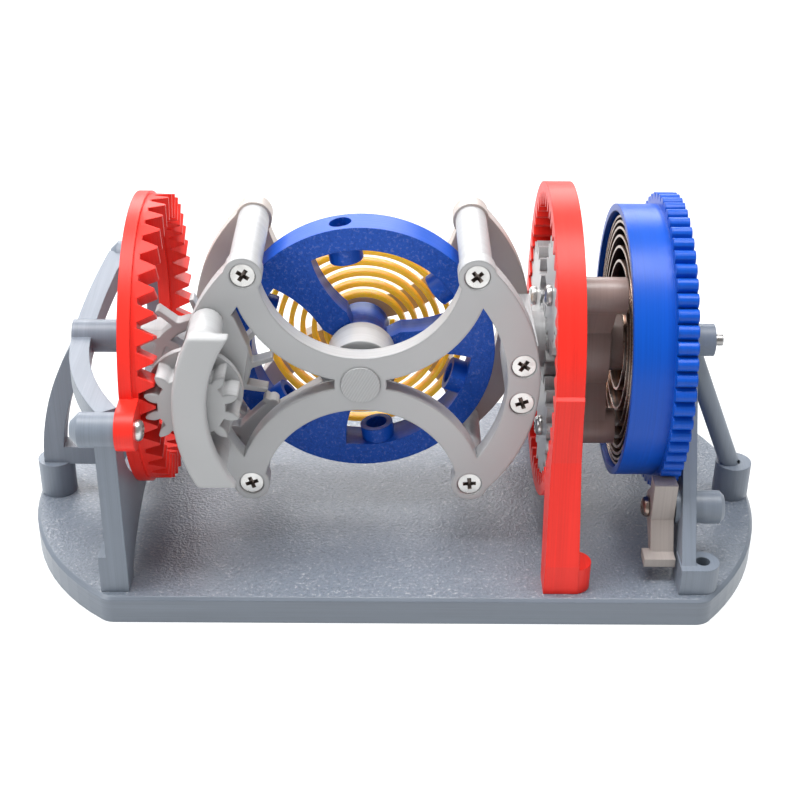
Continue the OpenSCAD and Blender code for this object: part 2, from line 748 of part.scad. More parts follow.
module planet_carrier() {
  arm_half = lobe_r - 0.3;
  color(warm_grey) difference() {
    union() {
      on_axis(carrier_x) linear_extrude(web_l) {
        circle(r = arbor_r + 4);
        for (k = [0 : 2]) rotate(planet_heading(k)) translate([0, -arm_half])
          square([planet_orbit, 2 * arm_half]);
      }
      for (k = [0 : 2])
        axis_pin(planet_orbit * unit(planet_heading(k)), carrier_x, carrier_x + carrier_l, 2 * lobe_r);
      axis_pin([0, 0], carrier_x, arbor_end, 2 * arbor_r);
    }
    axis_pin([0, 0], carrier_x - 1, arbor_end + 1, shaft_d + 2 * play);
    for (k = [0 : 2])
      axis_pin(planet_orbit * unit(planet_heading(k)), carrier_x - 1, carrier_x + carrier_l - 1.5,
               screw_d + 2 * seat);
  }
}

module planet_screws() {
  color(steel) for (k = [0 : 2]) let (p = planet_orbit * unit(planet_heading(k)))
    translate([planet_x - 0.2, p[0], axis_z + p[1]]) rotate([0, -90, 0])
      pan_screw(planet_t + run_gap + carrier_l - 2.5, min(head_h, planet_x - cage_right - 1));
}

// Planet turned so that its teeth enter the gaps of the ring gear
module planet(k) {
  a = planet_heading(k);
  color(pale_grey) on_axis(planet_x) translate(planet_orbit * unit(a)) difference() {
    linear_extrude(planet_t) rotate(a * (1 - ring_teeth / planet_teeth))
      gear_2d(planet_mod, planet_teeth, 0.95, 1.2, backlash);
    translate([0, 0, -1]) cylinder(d = screw_d + 2 * play, h = planet_t + 2);
  }
}

module sun_gear() {
  phase = planet_angle * (1 + ring_teeth / sun_teeth) + 180 / sun_teeth;
  seat_x = block_x + block_l;
  color(pale_grey) difference() {
    union() {
      on_axis(planet_x) linear_extrude(planet_t) rotate(phase)
        gear_2d(planet_mod, sun_teeth, 0.95, 1.2, backlash);
      on_axis(seat_x)
        cylinder(r = planet_mod * (sun_teeth / 2 - 1.2), h = planet_x - seat_x + eps);
    }
    axis_pin([0, 0], seat_x - 1, planet_x + planet_t + 1, shaft_d + 2 * play);
  }
}

// Cage

// Arms, bands and bosses that both cage plates share, seen from the front
module cage_arms_2d() {
  for (s = [-1, 1]) scale([1, s]) intersection() {
    translate([0, arm_c]) ring_2d(arm_r, arm_w);
    translate([-cage_out, 0]) square([2 * cage_out, pillar_dz]);
  }
  circle(r = boss_r);
  for (i = [-1, 1], j = [-1, 1]) translate([i * pillar_dx, j * pillar_dz]) circle(r = corner_r);
  for (s = [0, 180]) rotate(s) intersection() {
    ring_2d(cage_band_r, band_w);
    wedge_2d(-atan2(pillar_dz, pillar_dx), atan2(pillar_dz, pillar_dx), 2 * cage_out);
  }
}

// Wide left side of the front plate, which carries the escape arbor
module escape_side_2d() {
  crest = [-escape_dx + 13, 9.5];
  waist = [-escape_dx + 11.2, -1.5];
  upper = cage_in * unit(148);
  lower = cage_in * unit(204);
  bend_r = 2;
  intersection() {
    circle(r = cage_out, $fn = 128);
    offset(r = bend_r) offset(delta = -bend_r)
      polygon([[-cage_out, upper[1]], upper, crest, waist, lower, [-cage_out, lower[1]]]);
  }
}

module front_plate_2d() {
  cage_arms_2d();
  escape_side_2d();
}

// The four pillars of the cage
module at_pillars() {
  for (i = [-1, 1], j = [-1, 1]) let ($at = [i * pillar_dx, j * pillar_dz]) children();
}

block_screw_z = 5.2;
block_screws = [for (s = [-1, 1]) [block_x + 0.47 * block_l - cage_x, s * block_screw_z]];

module cage_front_plate() {
  color(pale_grey) difference() {
    union() {
      upright(front_out, front_in) front_plate_2d();
      at_pillars() cross_pin($at, front_in - eps, cage_back, pillar_d);
    }
    at_pillars() cross_pin($at, front_in, cage_back + 1, screw_d + 2 * seat);
    at_pillars() front_sink($at);
    for (p = block_screws) front_sink(p);
    cross_pin([0, 0], front_out - 1, front_in + 1, 2 * (plug_r + seat));
    cross_pin(escape_at, front_out - 1, front_in + 1, escape_arbor_d + 2 * play);
    cross_pin(lever_at, front_out + 1, front_in + 1, lever_arbor_d + 2 * play);
  }
}

module cage_back_plate() {
  color(pale_grey) difference() {
    upright(cage_back, back_out) cage_arms_2d();
    at_pillars() cross_pin($at, cage_back - 1, back_out - 1.5, screw_d + 2 * seat);
    cross_pin([0, 0], cage_back - 1, back_out - 1, staff_d + 2 * play);
  }
}

module cage_screws() {
  color(steel) at_pillars() front_screw($at, back_out - front_out - 2.6);
}

module cage_end_block() {
  color(pale_grey) difference() {
    translate([block_x, front_in, axis_z - block_h / 2]) cube([block_l, cage_back - front_in, block_h]);
    axis_pin([0, 0], block_x - 1, block_x + block_l + 1, shaft_d + 2 * play);
    for (p = block_screws) cross_pin(p, front_in - 1, front_in + 10, screw_d + 2 * seat);
  }
}

module end_block_screws() {
  color(steel) for (p = block_screws) front_screw(p, plate_t + 8);
}

// Bearing on the left pivot: an arm from the back plate and a boss through the crown gear
module cage_left_bearing() {
  arm_x = cage_x - cage_out + 0.3;
  arm_h = 10;
  boss_d = 10;
  color(pale_grey) difference() {
    union() {
      translate([arm_x, 0, axis_z - arm_h / 2]) cube([left_bearing_l, cage_back, arm_h]);
      axis_pin([0, 0], left_bearing_x, arm_x + left_bearing_l, boss_d);
    }
    axis_pin([0, 0], left_bearing_x - 1, arm_x + left_bearing_l + 1, shaft_d + 2 * play);
  }
}

module escapement_bridge() {
  r = escape_dx + 0.3;
  half_h = 20.5;
  column_z = 17;
  column_x = -sqrt(r * r - column_z * column_z);
  color(pale_grey) difference() {
    union() {
      upright(bridge_out, bridge_in) intersection() {
        ring_2d(r, bridge_w);
        translate([-2 * r, -half_h]) square([2 * r, 2 * half_h]);
      }
      for (s = [-1, 1])
        cross_pin([column_x, s * column_z], bridge_in - eps, front_out, column_d);
    }
    cross_pin(escape_at, bridge_out + 1, bridge_in + 1, escape_arbor_d + 2 * play);
  }
}

module bearing_plug() {
  color(pale_grey) difference() {
    cross_pin([0, 0], front_out - 0.5, front_in, 2 * plug_r);
    cross_pin([0, 0], front_out + 1.5, front_in + 1, staff_d + 2 * play);
  }
}

// Clamp round the lower left pillar, with an arm that holds the hairspring's outer end
module hairspring_stud() {
  y0 = hair_y - 0.6;
  y1 = hair_y + hair_h + 0.6;
  pillar = [-pillar_dx, -pillar_dz];
  tip = (hair_out + 0.5) * unit(hair_start - 4);
  color(pale_grey) difference() {
    union() {
      cross_pin(pillar, y0, y1, pillar_d + 4.4);
      upright(y0, y1) hull() {
        translate(pillar + [4, 0.6]) square([0.1, 3.5], center = true);
        translate(tip) rotate(hair_start) square([4.6, 5], center = true);
      }
    }
    cross_pin(pillar, y0 - 1, y1 + 1, pillar_d + 2 * seat);
    upright(hair_y - 0.1, hair_y + hair_h + 0.1) intersection() {
      ring_2d(hair_out, hair_t + 0.6);
      wedge_2d(hair_start - 6, hair_start + 20, 2 * hair_out);
    }
  }
}

hair_points = [for (i = [0 : floor(hair_turns * loop_rings)])
  [hair_out - hair_pitch * i / loop_rings, hair_start + i * 360 / loop_rings]];

module hairspring() {
  echo(hairspring_least_gap = turn_gap(hair_points, hair_t));
  color(spring_yellow) translate([cage_x, hair_y + hair_h, axis_z]) rotate([90, 0, 0])
    spiral_strip(hair_points, hair_t, hair_h);
}

// Escape wheel, lever and balance

// One swept tooth of the escape wheel, its tip near the X axis
module club_tooth_2d(root) {
  polygon([root * unit(-16), (root + 0.9) * unit(-8.5), escape_r * unit(-0.8), escape_r * unit(2.4),
           (root + 0.9) * unit(-2), root * unit(1)]);
}

module escape_wheel() {
  rim_r = escape_r - 6.8;
  spokes = 5;
  color(pale_grey) difference() {
    upright(escape_y, escape_y + escape_t) translate(escape_at) {
      ring_2d(rim_r, 2.6);
      circle(r = 4);
      for (k = [0 : spokes - 1]) rotate(k * 360 / spokes) translate([0, -1.1]) square([rim_r, 2.2]);
      for (k = [0 : escape_teeth - 1])
        rotate(escape_phase + k * 360 / escape_teeth) club_tooth_2d(rim_r + 0.8);
    }
    cross_pin(escape_at, escape_y - 1, escape_y + escape_t + 1, escape_arbor_d + 2 * seat);
  }
}

// Pinion with a round flange behind its teeth
module escape_pinion() {
  tip = 0.8;
  front = bridge_in + 0.4;
  flange_y0 = front_out - 4.3;
  flange_y1 = flange_y0 + 2;
  hub_d = 7;
  color(pale_grey) difference() {
    union() {
      upright(front, flange_y0 + eps) translate(escape_at) rotate(180 + 180 / pinion_teeth)
        gear_2d(crown_mod, pinion_teeth, tip, 1.15, 2 * backlash);
      cross_pin(escape_at, flange_y0, flange_y1, 2 * (pinion_rp + tip * crown_mod + 0.2));
      cross_pin(escape_at, flange_y1 - eps, front_out - 0.3, hub_d);
    }
    cross_pin(escape_at, bridge_in, front_out, escape_arbor_d + 2 * seat);
  }
}

module escape_arbor() {
  color(steel) cross_pin(escape_at, bridge_out + 1.3, escape_y + escape_t + 0.2, escape_arbor_d);
}

// Pallet at the end of a lever arm, pointing at the escape arbor
module pallet_2d(heading) {
  translate(escape_at) rotate(heading)
    translate([escape_r + pallet_gap, -pallet_w / 2]) square([3.4, pallet_w]);
}

module pallet_lever() {
  arm = 3;
  slot = impulse_d + 0.3;
  fork_w = slot + 3;
  fork_end = lever_reach - impulse_r + 1.1;
  hub = 3.8;
  color(pale_grey) difference() {
    upright(escape_y, escape_y + escape_t) difference() {
      union() {
        translate(lever_at) circle(r = hub);
        for (a = pallet_heading) {
          pallet_2d(a);
          hull() {
            translate(lever_at) circle(d = arm, $fn = 24);
            translate(escape_at + (escape_r + pallet_gap + 2.6) * unit(a)) circle(d = arm, $fn = 24);
          }
        }
        translate(lever_at) rotate(impulse_heading + 180) {
          translate([0, -1.5]) square([fork_end - 4, 3]);
          translate([fork_end - 5, -fork_w / 2]) square([5, fork_w]);
        }
      }
      translate(lever_at) rotate(impulse_heading + 180)
        translate([fork_end - 3, -slot / 2]) square([4, slot]);
    }
    cross_pin(lever_at, escape_y - 1, escape_y + escape_t + 1, lever_arbor_d + 2 * seat);
  }
}

module lever_arbor() {
  color(steel) cross_pin(lever_at, front_out + 1.3, escape_y + escape_t + 0.2, lever_arbor_d);
}

// Spoke that narrows in the middle and spreads at the rim and at the hub
module spoke_2d() {
  rim_in = balance_r - rim_w;
  mid = rim_in * 0.55;
  hollow = 22;
  difference() {
    wedge_2d(-20, 20, balance_r - rim_w / 2);
    for (s = [-1, 1])
      translate([mid, s * (spoke_w / 2 + hollow)]) scale([1.15, 1]) circle(r = hollow, $fn = 96);
  }
}

// Runs its children at each radial boss of the balance, X pointing out
module at_poise() {
  for (k = [0 : 5]) translate([cage_x, -balance_front + rim_t / 2, axis_z])
    rotate([0, -(spoke_angle + 30 + 60 * k), 0]) rotate([0, 90, 0]) children();
}

module balance_wheel() {
  rim_back = -balance_front + rim_t;
  color(wheel_blue) difference() {
    union() {
      upright(-balance_front, rim_back) ring_2d(balance_r - rim_w / 2, rim_w);
      upright(-balance_front, -balance_front + spoke_t) {
        for (k = [0 : 2]) rotate(spoke_angle + 120 * k) spoke_2d();
        circle(r = hub_r);
      }
      cross_pin([0, 0], -balance_front, hair_y + hair_h, 2 * (hair_in - hair_t / 2 - spring_gap));
      at_poise() translate([0, 0, poise_in]) cylinder(d = poise_d, h = balance_r - rim_w / 2 - poise_in);
    }
    at_poise() translate([0, 0, poise_in - 1]) cylinder(d = poise_hole, h = balance_r - poise_in + 3);
    cross_pin([0, 0], -balance_front - 1, hair_y + hair_h + 1, staff_d + 2 * seat);
  }
}

module balance_roller() {
  pocket_y0 = escape_y - 0.6;
  pocket_y1 = escape_y + escape_t + 0.6;
  slot_half = 5;
  core_d = 5;
  color(pale_grey) difference() {
    union() {
      difference() {
        cross_pin([0, 0], roller_front, roller_back, 2 * roller_r);
        upright(pocket_y0, pocket_y1) rotate(impulse_heading)
          translate([0, -slot_half]) square([2 * roller_r, 2 * slot_half]);
      }
      cross_pin([0, 0], roller_front, -balance_front, core_d);
      cross_pin(impulse_r * unit(impulse_heading), pocket_y0 - 0.2, pocket_y1 + 0.2, impulse_d);
    }
    cross_pin([0, 0], roller_front - 1, -balance_front + 1, staff_d + 2 * seat);
  }
}

module balance_staff() {
  color(steel) cross_pin([0, 0], front_out + 1.8, back_out - 1.3, staff_d);
}

base_plate();
left_frame();
right_frame();
ring_gear_stand();
crown_gear();
crown_screws();
left_pivot();
centre_shaft();
pawl_screw();
pawl();
barrel();
mainspring();
planet_carrier();
planet_screws();
planet(0);  // planet_gear_1
planet(1);  // planet_gear_2
planet(2);  // planet_gear_3
cage_front_plate();
cage_back_plate();
cage_screws();
cage_end_block();
end_block_screws();
cage_left_bearing();
sun_gear();
escapement_bridge();
bearing_plug();
hairspring_stud();
hairspring();
escape_wheel();
escape_pinion();
escape_arbor();
pallet_lever();
lever_arbor();
balance_wheel();
balance_roller();
balance_staff();
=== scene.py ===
"""Looks of the tourbillon escapement model: printed plastic, steel screws and wound springs.

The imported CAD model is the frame. This script gives each node its material, replaces the screws,
the two springs and the bridge over the pinion with finer pieces, and sets up the photograph's
camera, light and floor.

All lengths are in metres, in the frame of the CAD model: X along the cage axis, Y back, Z up.
"""

import json
import math

import bmesh
import bpy
from mathutils import Matrix, Vector


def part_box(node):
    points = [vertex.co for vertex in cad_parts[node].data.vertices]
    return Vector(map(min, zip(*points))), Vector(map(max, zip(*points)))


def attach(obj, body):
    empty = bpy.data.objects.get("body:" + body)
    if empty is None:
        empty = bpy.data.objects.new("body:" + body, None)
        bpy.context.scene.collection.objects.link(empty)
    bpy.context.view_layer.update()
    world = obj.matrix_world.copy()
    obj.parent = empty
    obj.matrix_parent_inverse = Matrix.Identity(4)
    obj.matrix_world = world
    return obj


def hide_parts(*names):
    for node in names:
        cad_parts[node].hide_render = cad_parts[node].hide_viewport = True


MM = 0.001

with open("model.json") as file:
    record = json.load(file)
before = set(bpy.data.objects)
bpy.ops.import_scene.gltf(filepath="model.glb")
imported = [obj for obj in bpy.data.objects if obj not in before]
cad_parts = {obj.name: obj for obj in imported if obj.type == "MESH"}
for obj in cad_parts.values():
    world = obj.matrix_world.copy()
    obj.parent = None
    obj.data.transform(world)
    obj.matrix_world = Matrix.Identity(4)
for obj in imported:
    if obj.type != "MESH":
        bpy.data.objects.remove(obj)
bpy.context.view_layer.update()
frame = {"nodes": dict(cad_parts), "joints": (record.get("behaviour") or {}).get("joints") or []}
NODES = frame["nodes"]
JOINT_AT = {joint["name"]: Vector(joint["pos_m"]) for joint in frame["joints"]}
BALANCE_AT = JOINT_AT["balance_swing"]
AXIS_AT = JOINT_AT["barrel_wind"]


# Shader building

class Shader:
    """A node material with one Principled shader, built up by short calls."""

    def __init__(self, name, roughness, metallic=0.0, **sockets):
        self.material = bpy.data.materials.new(name)
        self.material.use_nodes = True
        self.tree = self.material.node_tree
        self.surface = self.tree.nodes["Principled BSDF"]
        self.surface.inputs["Roughness"].default_value = roughness
        self.surface.inputs["Metallic"].default_value = metallic
        for socket, value in sockets.items():
            self.surface.inputs[socket.replace("_", " ")].default_value = value
        self.coords = self.add("ShaderNodeTexCoord")
        self.height = None

    def add(self, kind, settings=None, **inputs):
        """Adds a node. Settings are its properties, inputs are values or sockets to link."""
        node = self.tree.nodes.new(kind)
        for key, value in (settings or {}).items():
            setattr(node, key, value)
        for key, value in inputs.items():
            self.plug(node.inputs[key.replace("_", " ")], value)
        return node

    def plug(self, socket, value):
        if isinstance(value, bpy.types.NodeSocket):
            self.tree.links.new(value, socket)
        else:
            socket.default_value = value

    def math(self, operation, a, b=0.0, c=0.0):
        node = self.add("ShaderNodeMath", {"operation": operation})
        for socket, value in zip(node.inputs, (a, b, c)):
            self.plug(socket, value)
        return node.outputs[0]

    def stretched(self, factors):
        """Object coordinates with each axis multiplied by its factor."""
        node = self.add("ShaderNodeMapping", Vector=self.coords.outputs["Object"])
        node.inputs["Scale"].default_value = factors
        return node.outputs["Vector"]

    def noise(self, factors, detail=2.0, roughness=0.5):
        """Noise from 0 to 1 with that many features to the metre along each axis."""
        node = self.add("ShaderNodeTexNoise", Vector=self.stretched(factors), Scale=1.0,
                        Detail=detail, Roughness=roughness)
        return node.outputs["Fac"]

    def ramp(self, value, low, high):
        """Value spread so that low gives 0 and high gives 1."""
        node = self.add("ShaderNodeMapRange", Value=value)
        node.inputs["From Min"].default_value = low
        node.inputs["From Max"].default_value = high
        return node.outputs["Result"]

    def mix(self, factor, a, b):
        node = self.add("ShaderNodeMix", {"data_type": "RGBA"})
        self.plug(node.inputs["Factor"], factor)
        for socket, value in ((node.inputs[6], a), (node.inputs[7], b)):
            self.plug(socket, value if isinstance(value, bpy.types.NodeSocket) else (*value, 1.0))
        return node.outputs[2]

    def facing(self, axis, sign):
        """1 on faces that look along one of the object's axes, 0 on the others."""
        none_below, full_above = 0.85, 0.97
        split = self.add("ShaderNodeSeparateXYZ", Vector=self.coords.outputs["Normal"])
        along = self.math("MULTIPLY", split.outputs[axis], sign)
        return self.ramp(along, none_below, full_above)

    def raise_by(self, value, depth):
        """Adds value, from 0 to 1, times depth in metres to the surface relief."""
        scaled = self.math("MULTIPLY", value, depth)
        self.height = scaled if self.height is None else self.math("ADD", self.height, scaled)

    def finish(self, colour, roughness=None, edge=0.0):
        """Connects colour, roughness and relief.

        Edge is the radius to which sharp edges look rounded.
        """
        self.plug(self.surface.inputs["Base Color"], colour)
        if roughness is not None:
            self.plug(self.surface.inputs["Roughness"], roughness)
        normal = None
        if edge:
            normal = self.add("ShaderNodeBevel", {"samples": 4}, Radius=edge).outputs["Normal"]
        if self.height is not None:
            bump = self.add("ShaderNodeBump", Height=self.height, Strength=1.0, Distance=1.0)
            if normal is not None:
                self.plug(bump.inputs["Normal"], normal)
            normal = bump.outputs["Normal"]
        if normal is not None:
            self.plug(self.surface.inputs["Normal"], normal)
        return self.material


def srgb(red, green, blue):
    """A colour given as 8-bit screen values, as linear values."""
    return tuple(((v / 255 + 0.055) / 1.055) ** 2.4 if v > 10 else v / 255 / 12.92
                 for v in (red, green, blue))


def shade(colour, factor):
    """The colour made brighter or darker by a factor."""
    return tuple(min(1.0, v * factor) for v in colour)


def whiten(colour, share):
    """The colour moved towards white by a share."""
    return tuple(v + (1 - v) * share for v in colour)


X, Y, Z = 0, 1, 2


def layer_factors(build_axis, across, along):
    """Noise scales for layer lines: fine across the layers, long along them."""
    return tuple(across if axis == build_axis else along for axis in (X, Y, Z))


# Noise of printed plastic, in features to the metre. Lines and bands: across, along the layers
LINE_SCALE = (2600, 22)
BAND_SCALE = (420, 12)
CLOUD_SCALE = (70, 70, 70)
GRAIN_SCALE = (1300, 1300, 1300)
# Relief of the lines and the bands
LINE_DEPTH = 0.035 * MM
BAND_DEPTH = 0.03 * MM


def printed(name, colour, build_axis, roughness=0.42, sparkle=None, bed_sheen=1.0, relief=0.2 * MM,
            glint_share=0.2, edge=0.35 * MM, **sockets):
    """Printed plastic: layer lines across build_axis, a mottled tone and softened edges.

    Sparkle is (axis, sign) of the face that lay on the textured print bed. Bed_sheen is that
    face's brightness, a painted sheen, and the pits of its grain get painted shade; relief is the
    depth of its grain and glint_share the share of painted glint colour in its bright specks.
    """
    dark_layer, light_layer = shade(colour, 0.88), shade(colour, 1.08)
    s = Shader(name, roughness, **sockets)
    lines = s.noise(layer_factors(build_axis, *LINE_SCALE), detail=1.0)
    bands = s.noise(layer_factors(build_axis, *BAND_SCALE), detail=2.0)
    cloud = s.noise(CLOUD_SCALE, detail=3.0)
    layers = s.math("MULTIPLY_ADD", lines, 0.4, s.math("MULTIPLY", bands, 0.6))
    tone = s.mix(s.ramp(layers, 0.35, 0.65), dark_layer, light_layer)
    tone = s.mix(s.math("MULTIPLY", s.ramp(cloud, 0.35, 0.7), 0.6), tone, colour)
    s.raise_by(lines, LINE_DEPTH)
    s.raise_by(bands, BAND_DEPTH)
    rough = s.math("MULTIPLY_ADD", cloud, 0.16, roughness - 0.08)
    if sparkle:
        axis, sign = sparkle
        # On the bed face the colour carries painted light: a lighter tone as painted sheen, darker
        # pits as painted shade and whitened peaks as painted glints
        bed_sheen_colour, pit_shade_colour = shade(colour, bed_sheen), shade(colour, 0.6 * bed_sheen)
        glint_colour = whiten(colour, 0.4)
        bed = s.facing(axis, sign)
        grain = s.noise(GRAIN_SCALE, detail=2.0, roughness=0.65)
        glint = s.math("MULTIPLY", s.ramp(grain, 0.58, 0.68), bed)
        pit_shade_mask = s.math("MULTIPLY", s.ramp(grain, 0.46, 0.34), bed)
        s.raise_by(s.math("MULTIPLY", grain, bed), relief)
        tone = s.mix(s.math("MULTIPLY", bed, 0.85), tone, bed_sheen_colour)
        tone = s.mix(s.math("MULTIPLY", pit_shade_mask, 0.5), tone, pit_shade_colour)
        tone = s.mix(s.math("MULTIPLY", glint, glint_share), tone, glint_colour)
        rough = s.math("MULTIPLY_ADD", glint, -0.22, rough)
    return s.finish(tone, rough, edge)


def plug_face(name, colour):
    """Printed disc whose front shows the slanting lines of its last layer."""
    lean, line_pitch, line_depth, grain_depth = -0.55, 0.75 * MM, 0.06 * MM, 0.03 * MM
    s = Shader(name, 0.4)
    split = s.add("ShaderNodeSeparateXYZ", Vector=s.coords.outputs["Object"])
    slant = s.math("ADD", split.outputs[X], s.math("MULTIPLY", split.outputs[Z], lean))
    line = s.math("SINE", s.math("MULTIPLY", slant, 2 * math.pi / line_pitch))
    wave = s.math("MULTIPLY", s.math("MULTIPLY_ADD", line, 0.5, 0.5), s.facing(Y, -1))
    s.raise_by(wave, line_depth)
    s.raise_by(s.noise((900, 900, 900)), grain_depth)
    tone = s.mix(s.math("MULTIPLY", wave, 0.5), colour, shade(colour, 0.82))
    return s.finish(tone, edge=0.25 * MM)


def metal(name, colour, roughness, grain=1400.0, edge=0.1 * MM, dark=0.75):
    """Plated steel with a fine grain and slightly darker patches."""
    s = Shader(name, roughness, metallic=1.0)
    grain_value = s.noise((grain, grain, grain), detail=3.0)
    patches = s.noise((260, 260, 260), detail=2.0)
    s.raise_by(grain_value, 0.01 * MM)
    tone = s.mix(s.ramp(patches, 0.35, 0.75), colour, shade(colour, dark))
    rough = s.math("MULTIPLY_ADD", grain_value, 0.18, roughness - 0.09)
    return s.finish(tone, rough, edge)


def spring_face(name, colour, tint):
    """Blued flat of the mainspring: dark steel with a copper tint in streaks."""
    s = Shader(name, 0.28, metallic=1.0)
    streak = s.noise((900, 60, 60), detail=2.0)
    s.raise_by(streak, 0.008 * MM)
    return s.finish(s.mix(s.ramp(streak, 0.4, 0.7), colour, tint), edge=0.05 * MM)


GREY = srgb(119, 128, 140)
PALE = srgb(178, 179, 180)
# The back plate's colour is lighter and warmer than the pale plastic: painted light, for the light
# that passes through the translucent plate where it lies in shade
BACK_PAINTED_LIGHT = srgb(190, 181, 175)
WARM = srgb(152, 132, 126)
IVORY = srgb(166, 158, 153)
RED = srgb(236, 46, 35)
BLUE = srgb(4, 78, 184)
YELLOW = srgb(252, 198, 38)

# The base's top face gets painted light: a painted sheen, painted glints and painted shade in its
# grain pits
BASE = printed("base_plastic", shade(GREY, 0.86), Z, 0.34, sparkle=(Z, 1), bed_sheen=1.06,
               relief=0.28 * MM, glint_share=0.6, edge=0.5 * MM, Specular_IOR_Level=0.6)
FRAME = printed("frame_plastic", GREY, X, 0.42)
GEAR_RED = printed("gear_plastic", RED, X, 0.4, Specular_IOR_Level=0.3)
CAGE_PALE = printed("cage_plastic", PALE, Y, 0.42, edge=0.8 * MM)
BACK_PALE_PAINTED_LIGHT = printed("back_plate_plastic_painted_light", BACK_PAINTED_LIGHT, Y, 0.36, edge=0.8 * MM)
TRAIN_PALE = printed("train_plastic", PALE, X, 0.34)
WARM_GREY = printed("carrier_plastic", WARM, X, 0.34, edge=0.5 * MM)
PAWL_IVORY = printed("pawl_plastic", IVORY, X, 0.42)
DRUM_BLUE = printed("barrel_plastic", BLUE, X, 0.34, edge=0.5 * MM, Specular_IOR_Level=0.28)
# The balance's front face gets painted glints and painted shade in its grain pits
WHEEL_BLUE = printed("balance_plastic", BLUE, Y, 0.42, sparkle=(Y, -1), Specular_IOR_Level=0.35)
# The hairspring glows faintly: painted light, for the light that passes through its thin
# translucent plastic
GLOWING_SPRING_YELLOW = printed("hairspring_plastic_painted_glow", YELLOW, Y, 0.42, edge=0.0, Subsurface_Weight=1.0,
                        Subsurface_Radius=(1.0, 0.75, 0.25), Subsurface_Scale=3 * MM,
                        Emission_Color=(1.0, 0.55, 0.06, 1.0), Emission_Strength=0.16)
PLUG_PALE = plug_face("plug_plastic", PALE)
BRIGHT_STEEL = metal("bright_steel", (0.74, 0.73, 0.71), 0.3, grain=700.0, dark=0.7)
SHAFT_STEEL = metal("shaft_steel", (0.40, 0.39, 0.385), 0.36, edge=0.5 * MM)
DARK_STEEL = metal("dark_steel", (0.34, 0.27, 0.23), 0.3)
# Dark steel for the insides of the cross recesses: painted shade in the recesses
RECESS_SHADE_STEEL = metal("recess_painted_shade_steel", (0.22, 0.185, 0.165), 0.5)
SPRING_EDGE = metal("spring_edge_steel", (0.46, 0.38, 0.31), 0.28)
SPRING_FLAT = spring_face("spring_flat_steel", (0.06, 0.052, 0.05), (0.20, 0.10, 0.06))

NODE_MATERIALS = {
    BASE: ["base_plate"],
    FRAME: ["left_frame", "right_frame"],
    GEAR_RED: ["ring_gear_stand", "crown_gear"],
    BACK_PALE_PAINTED_LIGHT: ["cage_back_plate"],
    CAGE_PALE: ["cage_front_plate", "hairspring_stud", "balance_roller", "escape_wheel",
                "pallet_lever", "escape_pinion"],
    TRAIN_PALE: ["planet_gear_1", "planet_gear_2", "planet_gear_3", "sun_gear", "cage_end_block",
                 "cage_left_bearing"],
    WARM_GREY: ["planet_carrier"],
    PAWL_IVORY: ["pawl"],
    DRUM_BLUE: ["barrel"],
    WHEEL_BLUE: ["balance_wheel"],
    PLUG_PALE: ["bearing_plug"],
    SHAFT_STEEL: ["left_pivot", "centre_shaft", "escape_arbor", "lever_arbor", "balance_staff"],
}
for material, names in NODE_MATERIALS.items():
    for name in names:
        NODES[name].data.materials.clear()
        NODES[name].data.materials.append(material)


# Pieces made here

def add_piece(name, mesh, body, materials, stands_for):
    """Puts a mesh in the scene as a piece that rides on a body in place of a CAD node."""
    piece = bpy.data.objects.new(name, mesh)
    bpy.context.scene.collection.objects.link(piece)
    for material in materials:
        mesh.materials.append(material)
    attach(piece, body)
    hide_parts(stands_for)


def smooth(mesh, angle=35.0):
    """Smooth shading with sharp edges where faces meet at more than the angle in degrees."""
    mesh.shade_smooth()
    mesh.set_sharp_from_angle(angle=math.radians(angle))


def mesh_from(name, build):
    """Mesh that the build function makes in an empty bmesh."""
    bm = bmesh.new()
    build(bm)
    bmesh.ops.recalc_face_normals(bm, faces=bm.faces)
    mesh = bpy.data.meshes.new(name)
    bm.to_mesh(mesh)
    bm.free()
    return mesh


def strip_mesh(name, centres, thickness, width, side, corner):
    """Flat strip along centres, each a (point, outward direction), with rounded corners.

    Side is the direction of the strip's width. Faces across the width get the second material.
    """
    half_t, half_w = thickness / 2, width / 2
    profile = []
    corners = ((half_t, half_w, 0), (-half_t, half_w, 90),
               (-half_t, -half_w, 180), (half_t, -half_w, 270))
    for cu, cv, start in corners:
        for step in (0, 45, 90):
            a = math.radians(start + step)
            u = cu - math.copysign(corner, cu) + corner * math.cos(a)
            v = cv - math.copysign(corner, cv) + corner * math.sin(a)
            profile.append((u, v))
    count = len(profile)

    def build(bm):
        rings = [[bm.verts.new(point + out * u + side * v) for u, v in profile]
                 for point, out in centres]
        for ring, following in zip(rings, rings[1:]):
            for i in range(count):
                j = (i + 1) % count
                face = bm.faces.new((ring[i], ring[j], following[j], following[i]))
                middle = (profile[i][1] + profile[j][1]) / 2
                face.material_index = 1 if abs(middle) > half_w - corner else 0
        bm.faces.new(rings[0][::-1])
        bm.faces.new(rings[-1])

    mesh = mesh_from(name, build)
    smooth(mesh)
    return mesh


RINGS_PER_TURN = 96


def spiral(radius_at, turns, start, plane):
    """Centres of a flat spiral, each with its outward direction.

    Radius_at takes 0 to 1 along the spiral, plane gives a direction from an angle.
    """
    steps = round(turns * RINGS_PER_TURN)
    for i in range(steps + 1):
        out = plane(math.radians(start + 360 * turns * i / steps))
        yield radius_at(i / steps) * out, out


def cage_plane(angle):
    """Direction at an angle in the balance's own plane, seen from the front."""
    return Vector((math.cos(angle), 0, math.sin(angle)))


def axis_plane(angle):
    """Direction at an angle about the cage axis, from the back upwards."""
    return Vector((0, math.cos(angle), math.sin(angle)))


